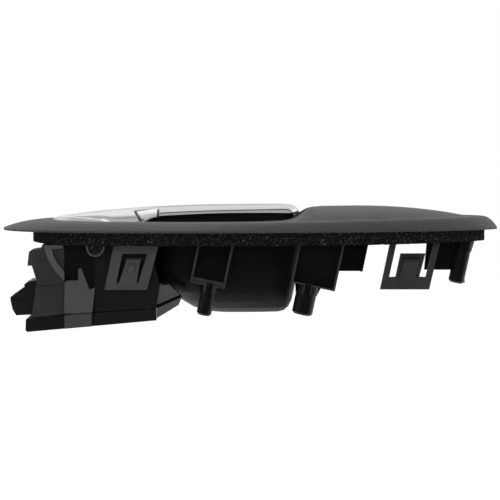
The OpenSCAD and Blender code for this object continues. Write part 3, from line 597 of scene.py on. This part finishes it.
def full_flank(bm):
    """Fills out the cup's flank, widens the left tower's tongue and moves the rim of the foam's tab."""
    plate(bm, TONGUE_FOOT, TONGUE_HEAD, *TONGUE_Y)
    cut(bm, FLANK_LEVELS, (0, 0, 1))
    for vert in bm.verts:
        x, y, z = vert.co / MM
        out = smooth((-11 - z) / 15) * (1 - smooth((-28 - z) / 7))
        shift = FLANK_BULGE * MM * out * smooth((FLANK_X[1] - x) / 14) * smooth((23.2 - abs(y)) / 3.5)
        vert.co.x -= shift * (x > FLANK_X[0])
        if within((x, y, z), TAB_RIM):
            vert.co.x += TAB_SHIFT * MM


def closed_tower(bm):
    """Deepens the right snap tower's lower bar, and sets the tower behind it upright and closes it."""
    plate(bm, SHUTTER_FOOT, SHUTTER_HEAD, *SHUTTER_Y)
    for vert in bm.verts:
        x, y, z = vert.co / MM
        if within((x, y, z), LOWER_BAR):
            vert.co += Vector(BAR_RISE) * MM
        if within((x, y, z), SECOND_TOWER):
            vert.co.x -= TOWER_LEAN * z * MM


def moulded(node, name, finish, radius, sharp=MOULDED_SHARP, reshape=None):
    """A moulding with rounded edges, changed by reshape where its solid differs from the photo."""
    bm = merged(node)
    if reshape:
        reshape(bm)
    join_flat(bm)
    if finish == "black_moulding":
        # Painted light: faces in the listed ranges are painted paler.
        cut(bm, PAINTED_LIGHT_EDGES_X, (1, 0, 0))
        painted_light = bm.faces.layers.float.new("painted_light")
        for face in bm.faces:
            face[painted_light] = painted_light_level(face)
    mark_sharp(bm, sharp)
    rounded(piece(name, bm, finish, node), radius, sharp)


def loft(bm, rings, closed=False, marks=()):
    """A skin over a stack of rings of points in millimetres, closed into a ring or left open at its ends.

    Where marks are named, each point comes with their values. Returns the first and last ring of vertices.
    """
    layers = [bm.verts.layers.float.new(name) for name in marks]
    first = bmesh.ops.create_circle(bm, segments=len(rings[0]), radius=1)["verts"]
    front = first
    for number, ring in enumerate(rings):
        if number:
            edges = [bm.edges.get((vert, front[i - 1])) for i, vert in enumerate(front)]
            grown = bmesh.ops.extrude_edge_only(bm, edges=edges)["geom"]
            grown = {item for item in grown if isinstance(item, bmesh.types.BMVert)}
            front = [
                next(edge.other_vert(vert) for edge in vert.link_edges if edge.other_vert(vert) in grown)
                for vert in front
            ]
        for vert, point in zip(front, ring):
            place, values = point if marks else (point, ())
            vert.co = Vector(place) * MM
            for layer, value in zip(layers, values):
                vert[layer] = value
    if closed:
        ends = [bm.edges.get((vert, loop[i - 1])) for loop in (first, front) for i, vert in enumerate(loop)]
        bmesh.ops.bridge_loops(bm, edges=ends)
    return first, front


# The bezel's curves, in millimetres

WIDEST_X = -35
BEZEL_REACH = (90, 160)
BEZEL_HALF = 38
POCKET_REACH = (65.5, 64)
POCKET_HALF = 24.5
EDGE_Z = 1
CREST_Z, CREST_RISE, CREST_RUN = 4.9, 1.8, 112
DOME_HEIGHT, DOME_INSET = 6.1, 8
DOME_START_X, DOME_START_RUN = 18, 14
DOME_FALL_X, DOME_FALL_RUN = 50, 59
BEZEL_WALL = 2
POCKET_STEPS, POCKET_BUNCHING = 14, 1.4


def eye_half(x):
    """Half width of the bezel's outline at x."""
    if x < WIDEST_X:
        return BEZEL_HALF * (1 - min(1, (WIDEST_X - x) / BEZEL_REACH[0]) ** 2.6) ** 0.385
    return BEZEL_HALF * (1 - min(1, (x - WIDEST_X) / BEZEL_REACH[1]) ** 2) ** 0.6


def pocket_half(x):
    """Half width of the pocket's opening at x."""
    reach = POCKET_REACH[x >= WIDEST_X]
    return POCKET_HALF * (1 - min(1, abs(x - WIDEST_X) / reach) ** 2.2) ** 0.45


def crest(x):
    """Height of the bezel between its rim and the pocket at x."""
    return CREST_Z + CREST_RISE * min(1, max(0, x / CREST_RUN))


def dome(x, y):
    """Height of the palm dome above the crest."""
    half = max(1, eye_half(x) - DOME_INSET)
    fall = 0 if x < DOME_FALL_X else min(1, (x - DOME_FALL_X) / DOME_FALL_RUN)
    along = max(0, 1 - fall ** 2) ** 0.9
    across = max(0, 1 - (y / half) ** 2) ** 0.62
    return DOME_HEIGHT * smooth((x - DOME_START_X) / DOME_START_RUN) * along * across


def bezel_point(angle, rim_share, inner_share, shrink=0):
    """A point of the bezel's top: rim_share of the way over its rim, then inner_share on to the pocket."""
    c, side = math.cos(angle), math.copysign(1, math.sin(angle))
    outer_x = WIDEST_X + c * BEZEL_REACH[c >= 0]
    inner_x = WIDEST_X + c * POCKET_REACH[c >= 0]
    outer = Vector((outer_x, side * eye_half(outer_x)))
    inner = Vector((inner_x, side * pocket_half(inner_x)))
    run = (inner - outer).length
    rim = min(run - 2, 8 + 15 * max(0, -c) ** 4)
    d = (rim * rim_share + (run - rim) * inner_share) * (run - shrink) / run
    q = outer + (inner - outer) * d / run
    roll = 1 - (1 - min(1, d / rim)) ** 2.2
    return q.x, q.y, EDGE_Z + (crest(q.x) - EDGE_Z) * roll + dome(q.x, q.y)


RIM_SHARES = (0, 0.03, 0.07, 0.12, 0.18, 0.25, 0.32, 0.4, 0.5, 0.61, 0.73, 0.86, 0.95, 1)


def bezel_rings(count):
    """The rings of the bezel's skin, round its section, each point with its share of the painted shade along
    the dome's crease.
    """
    angles = [2 * math.pi * i / count for i in range(count)]
    shares = [(s, 0) for s in RIM_SHARES]
    shares += [(1, (k / POCKET_STEPS) ** POCKET_BUNCHING) for k in range(1, POCKET_STEPS + 1)]
    # Painted shade: the rings at the dome's crease get a share of darkening.
    painted_crease_shade = dict(zip(shares[len(RIM_SHARES) - 1:], (1.0, 0.55)))
    top = [[bezel_point(a, *share) for a in angles] for share in shares]
    under = [[bezel_point(a, *share, shrink=1.8) for a in angles] for share in reversed(shares[1:])]
    edge = [(x, y, 0) for x, y, z in top[0]]
    marks = [
        [(painted_crease_shade.get(share, 0) * smooth((x - 42) / 8) * (1 - smooth((x - 98) / 8)),) for x, y, z in ring]
        for share, ring in zip(shares, top)
    ]
    plain = (
        [[(x, y, 1.9) for x, y, z in ring] for ring in (top[-1], under[0])]
        + [[(x, y, max(0, z - BEZEL_WALL)) for x, y, z in ring] for ring in under]
    )
    return (
        [[(point, (0,)) for point in edge]] + [list(zip(ring, row)) for ring, row in zip(top, marks)]
        + [[(point, (0,)) for point in ring] for ring in plain]
    )


# The lever's curves, in millimetres

LEVER_X0, LEVER_X1, LEVER_Y = -93.4, 24.2, -4
LEVER_MID, LEVER_REACH = (LEVER_X0 + LEVER_X1) / 2, (LEVER_X1 - LEVER_X0) / 2
LEVER_END_RUN, LEVER_ROUNDNESS = 9, 0.77
CROWN_Z, CROWN_RISE, CROWN_RUN = 7.3, 5.6, 118
HUB_X, HUB_DIP = -62.6, 4.7
UPRIGHT_SEAM_X, SEAM_DEPTH = -46.4, 0.3


def crown(x):
    """Height of the lever's ridge at x."""
    return CROWN_Z + CROWN_RISE * (1 - (1 - min(1, max(0, (x - LEVER_X0) / CROWN_RUN))) ** 3)


def hem(x):
    """Height of the lever's lower edge at x, which dips where it wraps round the hub."""
    d = abs(x - HUB_X)
    lobe = math.exp(-((d / 9) ** 4)) if x < HUB_X else math.exp(-((d / 10.8) ** 3))
    level = 6.6 - 0.4 * smooth((x - LEVER_X0) / 14) + 2.3 * smooth((x + 75) / 70) - 0.4 * smooth((x - 8) / 16)
    return level - HUB_DIP * lobe


def lever_half(x):
    """Half width of the lever at x, without the rounding of its ends."""
    return 12.5 * (1 - 0.14 * smooth((x + 54) / 60) - 0.16 * smooth((-72 - x) / 26))


def lever_plan(c):
    """Share of the lever's half width at c, which goes from -1 to 1 between its ends."""
    return (1 - abs(c) ** 4) ** 0.45


def ridge(distance, width):
    """1 at a line, falling off beside it."""
    return math.exp(-((distance / width) ** 4))


def hook_x(share):
    """Where the curved dark line behind the hub runs, at a share of the lever's side: partly a real seam cut
    in and partly painted shade.
    """
    return -55.3 - 2.6 * smooth((share - 0.2) / 0.7)


def seam_and_painted_shade(x, share):
    """The fine dark lines on the lever's sides, partly real seams cut in as shallow grooves and partly
    painted shade and reflection: one upright, one hooked, and a fold beside the hub.
    """
    upright = ridge(x - UPRIGHT_SEAM_X, 0.6) * (1 - smooth((share - 0.76) / 0.08))
    hooked = ridge(x - hook_x(share), 0.75) * (1 - smooth((share - 0.84) / 0.08))
    hooked *= smooth((share - 0.14) / 0.08)
    along = ridge(share - 0.86, 0.03) * smooth((x + 59.5) / 1.2) * (1 - smooth((x + 54) / 9))
    toe = ridge(x + 54.6, 1.1) * ridge(share - 0.2, 0.09)
    fold = 0.6 * ridge(x + 65.4 + 3.2 * share, 0.5) * (1 - smooth((share - 0.2) / 0.12))
    return max(upright, hooked, along, toe, fold)


def satin_and_painted_highlight(x, share):
    """How satin the lever is: half on its root, fully between the dark lines, where the satin patch is a
    painted highlight, not at all on its bright bar.
    """
    above = smooth((share - 0.8) / 0.1)
    patch = 0.5 * smooth((x - hook_x(share)) / 0.6) * (1 - above)
    side = (0.5 + patch) * (1 - smooth((x + 46.7) / 0.6))
    return side * (1 - above) + 0.5 * (1 - smooth((x + 56) / 16)) * above


LEVER_RISES = (0, 3, 7, 12, 17, 23, 29, 35, 41, 47, 53, 59, 65, 71, 76, 80, 84, 87, 90)
LEVER_STEPS = 90
FINE_X0, FINE_STEP, FINE_COUNT = -68, 0.25, 94


def lever_rings():
    """The rings of the lever's skin from its lower edge up to its ridge, each point with its two marks."""
    places = [math.cos(math.pi * i / LEVER_STEPS) for i in range(LEVER_STEPS + 1)]
    places += [(FINE_X0 + FINE_STEP * i - LEVER_MID) / LEVER_REACH for i in range(FINE_COUNT)]
    places = sorted(set(places), reverse=True)
    round_trip = [(c, 1) for c in places] + [(c, -1) for c in reversed(places[1:-1])]
    rings = []
    for rise in LEVER_RISES:
        out = 0 if rise == 90 else math.cos(math.radians(rise)) ** LEVER_ROUNDNESS
        up = math.sin(math.radians(rise)) ** LEVER_ROUNDNESS
        ring = []
        for c, side in round_trip:
            flat_x = LEVER_MID + LEVER_REACH * c
            spine = min(max(flat_x, LEVER_X0 + LEVER_END_RUN), LEVER_X1 - LEVER_END_RUN)
            x = spine + (flat_x - spine) * out
            # The dark-line mark cuts the shallow grooves of the seams and also carries painted shade and
            # reflection.
            dark = seam_and_painted_shade(flat_x, up)
            wide = lever_half(flat_x) * lever_plan(c) - SEAM_DEPTH * dark
            low = hem(flat_x)
            place = (x, LEVER_Y + side * wide * out, low + (crown(x) - low) * up)
            ring.append((place, (satin_and_painted_highlight(flat_x, up), dark)))
        rings.append(ring)
    return rings


# The satin surround of the lever's root, in millimetres

SURROUND_LOW = 2.2
SURROUND_END_X = -69.5
SURROUND_STEPS = 96
SURROUND_WIDTH, SURROUND_FAR_WIDTH = 5.2, 1.4
SURROUND_GAP, SURROUND_LEFT_GAP = 1.5, 2.5


def surround_top(x):
    """Height of the surround's edge: it climbs to the lever's root and sinks again along the arms."""
    climb = 5.7 + 1.2 * smooth((x + 100.5) / 6)
    return climb - 0.9 * smooth((x + 93.4) / 20) - 3.2 * smooth((x + 76) / 7.5)


def clear_of_lever(x, y, gap):
    """Whether a point in plan keeps the gap from the lever."""
    c = abs(x - LEVER_MID) / (LEVER_REACH + gap)
    return c >= 1 or abs(y - LEVER_Y) > (lever_half(x) + gap) * lever_plan(c)


def surround_rings():
    """Cross-sections of the surround, from its far arm round the left end to its near arm."""
    reach = POCKET_REACH[0] - 0.3
    turn = math.acos((SURROUND_END_X - WIDEST_X) / reach)
    rings = []
    for i in range(SURROUND_STEPS + 1):
        angle = turn + (2 * math.pi - 2 * turn) * i / SURROUND_STEPS
        x = WIDEST_X + reach * math.cos(angle)
        outer = Vector((x, math.copysign(1, math.sin(angle)) * (pocket_half(x - 0.3) - 0.3)))
        inward = (Vector((WIDEST_X - 22, 0)) - outer).normalized()
        width = 0.8
        most = SURROUND_FAR_WIDTH if outer.y > 0 and x > -94 else SURROUND_WIDTH
        gap = SURROUND_LEFT_GAP if x < -86 else SURROUND_GAP
        while width < most and clear_of_lever(*(outer + inward * (width + 0.1)), gap):
            width += 0.1
        top = surround_top(x)
        section = (
            (0, SURROUND_LOW), (0, top - 0.35), (0.12, top - 0.1), (0.35, top),
            (width - 0.3, top), (width - 0.08, top - 0.1), (width, top - 0.35), (width, SURROUND_LOW),
        )
        rings.append([(*(outer + inward * min(width, across)), z) for across, z in section])
    return rings


# Operators

class HANDLE_OT_bezel(bpy.types.Operator):
    """Makes the grained bezel"""
    bl_idname = "handle.bezel"
    bl_label = "Bezel"

    def execute(self, context):
        bm = bmesh.new()
        loft(bm, bezel_rings(240), closed=True, marks=("painted_crease_shade",))
        bmesh.ops.recalc_face_normals(bm, faces=bm.faces)
        mark_sharp(bm, BEZEL_SHARP)
        rounded(piece("bezel_skin", bm, "bezel_grain", "bezel"), 0.3 * MM, BEZEL_SHARP)
        return {"FINISHED"}


class HANDLE_OT_lever(bpy.types.Operator):
    """Makes the bright lever, its satin surround and its black core"""
    bl_idname = "handle.lever"
    bl_label = "Lever"

    def execute(self, context):
        edge = context.scene.handle_moulding.edge
        bm = bmesh.new()
        loft(bm, lever_rings(), marks=("root", "seam_and_painted_shade"))
        bmesh.ops.remove_doubles(bm, verts=bm.verts, dist=0.004 * MM)
        bmesh.ops.recalc_face_normals(bm, faces=bm.faces)
        for face in bm.faces:
            face.smooth = True
        shell = piece("lever_skin", bm, "lever_chrome", "lever_shell")
        wall = shell.modifiers.new("wall", "SOLIDIFY")
        wall.thickness = 1.2 * MM
        wall.offset = -1
        wall.use_even_offset = True
        bm = bmesh.new()
        for end in loft(bm, surround_rings()):
            bm.faces.new(end)
        bmesh.ops.recalc_face_normals(bm, faces=bm.faces)
        mark_sharp(bm, SURROUND_SHARP)
        piece("surround_skin", bm, "satin_chrome", "chrome_surround")
        moulded("lever_core", "lever_core_skin", "black_moulding", edge)
        return {"FINISHED"}


class HANDLE_OT_mouldings(bpy.types.Operator):
    """Makes the carrier, the mechanism housing and the connectors"""
    bl_idname = "handle.mouldings"
    bl_label = "Mouldings"

    def execute(self, context):
        edge = context.scene.handle_moulding.edge
        for node in ("mechanism_housing", "housing_cover", "cable_retainer", "connector_shell"):
            moulded(node, node + "_skin", "black_moulding", edge)
        moulded("carrier", "carrier_skin", "black_moulding", edge, reshape=full_flank)
        moulded("trim_fixings", "trim_fixings_skin", "black_moulding", edge, reshape=closed_tower)
        return {"FINISHED"}


class HANDLE_OT_foam(bpy.types.Operator):
    """Makes the ragged open-cell foam gasket"""
    bl_idname = "handle.foam"
    bl_label = "Foam Gasket"

    def execute(self, context):
        settings = context.scene.handle_foam
        bm = merged("foam_gasket")
        join_flat(bm)
        bmesh.ops.triangulate(bm, faces=bm.faces)
        step = 2 * settings.cell
        for _ in range(6):
            long_edges = [e for e in bm.edges if e.calc_length() > step]
            if not long_edges:
                break
            bmesh.ops.subdivide_edges(bm, edges=long_edges, cuts=1, use_grid_fill=True)
            bmesh.ops.triangulate(bm, faces=[f for f in bm.faces if len(f.verts) > 3])
        bm.normal_update()
        for vert in bm.verts:
            lump = noise.noise(vert.co / settings.cell)
            vert.co += vert.normal * settings.raggedness * (lump - 0.6)
            x, y, z = vert.co / MM
            shift = TAB_SHIFT * smooth((-z - 5) / 1.2) * smooth((6 - abs(x - TAB_X)) / 1.5)
            vert.co.x += shift * (y < -20) * MM
            vert.co.z -= FOAM_SAG * smooth((abs(y) - 4) / 26) * smooth((-z - 3) / 2.5) * MM
        mark_sharp(bm, SOFT_SHARP)
        made = piece("foam_ring", bm, "open_foam", "foam_gasket")
        return {"FINISHED"}


class HANDLE_OT_inner_pieces(bpy.types.Operator):
    """Finishes the pins, springs, screws, stops and contacts"""
    bl_idname = "handle.inner_pieces"
    bl_label = "Inner Pieces"

    def execute(self, context):
        for node in ("pivot_pin", "pin_clip", "cover_screws", "housing_screws", "bezel_screws"):
            moulded(node, node + "_bright", "zinc_steel", 0.15 * MM)
        for node in ("rest_bumpers", "travel_bumper"):
            moulded(node, node + "_soft", "soft_rubber", 0.3 * MM)
        moulded("sensor_magnet", "magnet_bright", "nickel_magnet", 0.1 * MM)
        moulded("sensor_board", "board_coated", "coated_board", 0.05 * MM)
        moulded("connector_pins", "contact_blades", "tinned_contact", 0.05 * MM)
        spring = merged("return_spring")
        mark_sharp(spring, SOFT_SHARP)
        wire = piece("spring_wire", spring, "zinc_steel", "return_spring", rides=False)
        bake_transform(wire)
        return {"FINISHED"}


def card(name, width, depth, place, turn):
    """A flat card of the stage, turned and moved as an object."""
    bm = bmesh.new()
    bmesh.ops.create_grid(bm, x_segments=1, y_segments=1, size=0.5)
    bmesh.ops.scale(bm, vec=(width, depth, 1), verts=bm.verts)
    made = object_of(name, bm)
    made.location = place
    made.rotation_euler = turn
    return made


def flag(name, width, height, place, tilt, low, high):
    """A studio card that only reflections see, from low at its foot to high at its head."""
    made = card(name, width, height, place, (math.radians(tilt), 0, 0))
    paint = Finish(name)
    up = paint.node("ShaderNodeSeparateXYZ", None, {"Vector": paint.place}, "Y")
    level = paint.limits(up, -height / 2, height / 2, low, high)
    glow = paint.node("ShaderNodeEmission", None, {"Color": (1, 1, 1), "Strength": level})
    paint.finish(glow, "Material Output")
    made.data.materials.append(paint.material)
    made.visible_camera = False
    made.visible_diffuse = False
    made.visible_shadow = False


def lamp(name, place, width, depth, power):
    """A lamp aimed at the handle, which reflections don't show."""
    light = bpy.data.lights.new(name, "AREA")
    light.shape = "RECTANGLE"
    light.size = width
    light.size_y = depth
    light.energy = power
    made = bpy.data.objects.new(name, light)
    made.location = place
    made.rotation_mode = "QUATERNION"
    made.rotation_quaternion = (Vector() - Vector(place)).to_track_quat("-Z", "Y")
    made.visible_glossy = False
    bpy.context.scene.collection.objects.link(made)


# Cards: name, width, height, place, tilt in degrees, light at the foot and at the head
FLAGS = (
    ("low_front_flag", 5, 0.32, (0, -0.9, -0.09), 90, 0.004, 0.012),
    ("front_flag", 5, 0.8, (0, -0.9, 0.50), 90, 0.42, 0.36),
    ("streak_flag", 5, 1.87, (0, -0.9, 1.835), 90, 0.16, 0.10),
    ("floor_flag", 5, 0.78, (0, -0.51, -0.168), 0, 0.004, 0.008),
    ("back_flag", 6, 0.8, (0, 1.6, 0.35), 90, 0.50, 0.60),
    ("top_flag", 6, 5.98, (0, 2.21, 2.4), 0, 0.74, 0.78),
)
# Lamps: name, place, width, depth, watts
LAMPS = (
    ("top_lamp", (0, 0.10, 1.1), 1.5, 0.8, 10),
    ("right_lamp", (1.0, 0.4, 0.6), 0.8, 0.6, 9),
    ("front_lamp", (-0.5, -1.2, 0.5), 0.6, 0.4, 3),
)
SENSOR_WIDTH = 36
FLOOR_SIZE = 6


class HANDLE_OT_stage(bpy.types.Operator):
    """Sets the floor, the light and the camera"""
    bl_idname = "handle.stage"
    bl_label = "Stage"

    def execute(self, context):
        scene = context.scene
        settings = scene.handle_stage
        scene.view_settings.view_transform = "Standard"

        aim = Vector((settings.aim_x, 0, settings.aim_z))
        back = Vector((0, -math.cos(settings.elevation), math.sin(settings.elevation)))
        camera = bpy.data.objects.new("camera", bpy.data.cameras.new("camera"))
        camera.data.sensor_width = SENSOR_WIDTH
        camera.data.lens = SENSOR_WIDTH * settings.distance / settings.picture_width
        camera.location = aim + back * settings.distance
        camera.rotation_mode = "QUATERNION"
        camera.rotation_quaternion = (-back).to_track_quat("-Z", "Y")
        camera.data.clip_end = 50
        scene.collection.objects.link(camera)
        scene.camera = camera

        scene.world = bpy.data.worlds.new("studio")
        scene.world.use_nodes = True
        sky = Nodes(scene.world.node_tree)
        seen = sum(
            sky.node("ShaderNodeLightPath", None, None, kind)
            for kind in ("Is Camera Ray", "Is Glossy Ray", "Is Transmission Ray")
        )
        level = sky.limits(seen, 0, 1, settings.fill, 1)
        light = sky.node("ShaderNodeBackground", None, {"Color": (1, 1, 1), "Strength": level})
        sky.finish(light, "World Output")

        floor = card("floor", FLOOR_SIZE, FLOOR_SIZE, (0, 0, -settings.floor_drop), (0, 0, 0))
        paint = Finish("pale_floor")
        lit = paint.node("ShaderNodeBsdfDiffuse", None, {"Color": (0.82, 0.82, 0.82)})
        white = paint.node("ShaderNodeEmission", None, {"Color": (1, 1, 1), "Strength": 1.1})
        rays = paint.node("ShaderNodeLightPath", None, None, "Is Camera Ray")
        mixed = paint.node("ShaderNodeMixShader", None, {0: rays * 0.88, 1: lit, 2: white})
        paint.finish(mixed, "Material Output")
        floor.data.materials.append(paint.material)

        for row in FLAGS:
            flag(*row)
        for row in LAMPS:
            lamp(*row)
        return {"FINISHED"}


class HANDLE_PT_panel(bpy.types.Panel):
    """Lists the handle's pieces"""
    bl_idname = "HANDLE_PT_panel"
    bl_label = "Door Handle"
    bl_space_type = "VIEW_3D"
    bl_region_type = "UI"
    bl_category = "Door Handle"

    def draw(self, context):
        scene = context.scene
        for settings in (scene.handle_bezel, scene.handle_moulding, scene.handle_chrome,
                         scene.handle_foam, scene.handle_stage):
            box = self.layout.box()
            for name in settings.bl_rna.properties.keys():
                if name not in ("rna_type", "name"):
                    box.prop(settings, name)
        for operator in OPERATORS:
            self.layout.operator(operator.bl_idname)


SETTINGS = {
    "handle_bezel": BezelSettings,
    "handle_moulding": MouldingSettings,
    "handle_chrome": ChromeSettings,
    "handle_foam": FoamSettings,
    "handle_stage": StageSettings,
}
OPERATORS = (
    HANDLE_OT_bezel, HANDLE_OT_lever, HANDLE_OT_mouldings, HANDLE_OT_foam, HANDLE_OT_inner_pieces,
    HANDLE_OT_stage,
)


def register():
    for name, group in SETTINGS.items():
        bpy.utils.register_class(group)
        setattr(bpy.types.Scene, name, bpy.props.PointerProperty(type=group))
    for operator in OPERATORS:
        bpy.utils.register_class(operator)
    bpy.utils.register_class(HANDLE_PT_panel)


def unregister():
    bpy.utils.unregister_class(HANDLE_PT_panel)
    for operator in reversed(OPERATORS):
        bpy.utils.unregister_class(operator)
    for name, group in reversed(SETTINGS.items()):
        delattr(bpy.types.Scene, name)
        bpy.utils.unregister_class(group)


def main():
    register()
    bpy.ops.handle.bezel()
    bpy.ops.handle.lever()
    bpy.ops.handle.mouldings()
    bpy.ops.handle.foam()
    bpy.ops.handle.inner_pieces()
    bpy.ops.handle.stage()


if __name__ == "__main__":
    main()
